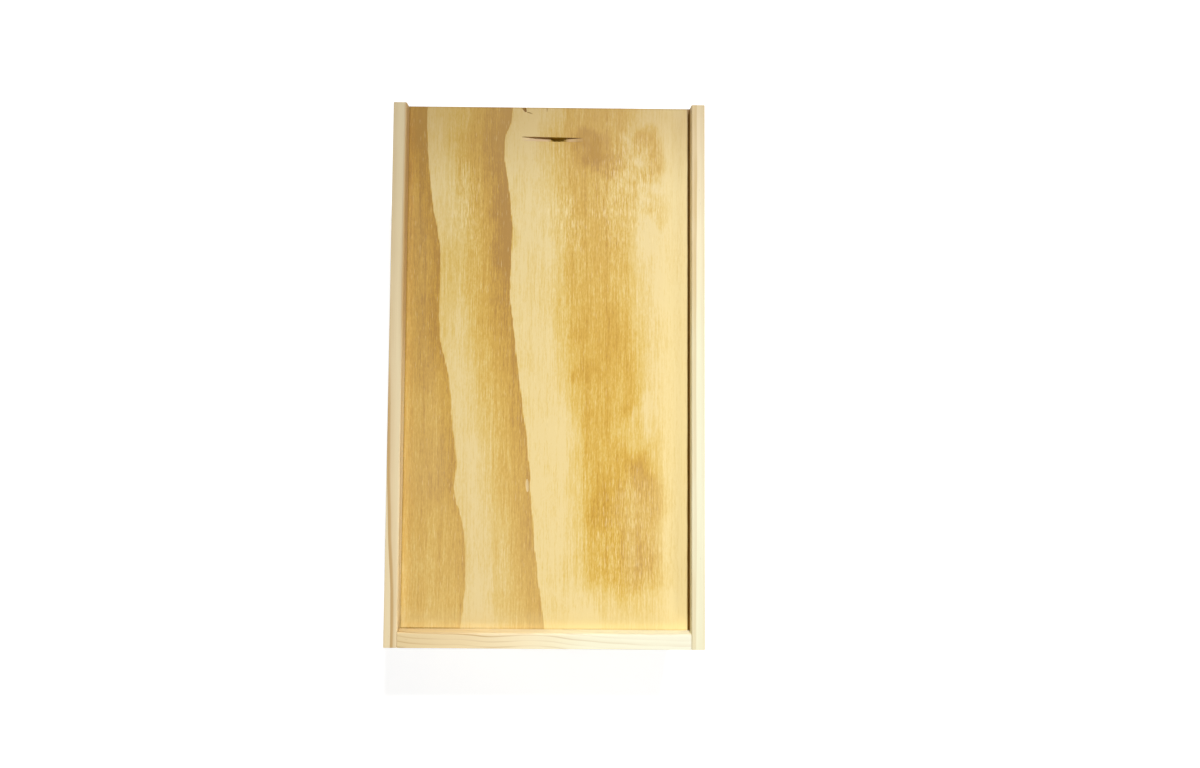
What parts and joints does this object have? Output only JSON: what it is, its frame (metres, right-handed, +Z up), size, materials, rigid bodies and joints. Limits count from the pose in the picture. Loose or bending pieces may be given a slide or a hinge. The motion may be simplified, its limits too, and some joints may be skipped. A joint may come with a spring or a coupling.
{
  "type": "wine box",
  "caption": "Long low wooden box for wine bottles lying side by side, with a lid that slides out in grooves, a divider, a neck rest and nailed corners.",
  "frame": {"origin": "under the middle of the case, in the plane that the box stands on", "axes": "+Z up through the lid, +Y along the box towards the open end where the lid slides out, +X across the box"},
  "size_m": [0.2, 0.346, 0.1],
  "materials": {
    "wall_pine": "planed and sanded, unvarnished",
    "lid_plywood": "sanded rotary-cut veneer, unvarnished",
    "panel_plywood": "sanded veneer, unvarnished",
    "brad_steel": "bright drawn wire"
  },
  "bodies": {
    "case": {"left_side_wall": "wall_pine", "right_side_wall": "wall_pine", "closed_end_wall": "wall_pine", "open_end_wall": "wall_pine", "base_panel": "panel_plywood", "centre_divider": "panel_plywood", "neck_rest": "panel_plywood", "left_wall_brads": "brad_steel", "right_wall_brads": "brad_steel", "base_brads": "brad_steel"},
    "lid": {"sliding_lid": "lid_plywood"}
  },
  "joints": [
    {"name": "lid_slide", "type": "slide", "parent": "case", "child": "lid", "axis": [0, 1, 0], "range_m": [0, 0.3385]}
  ]
}
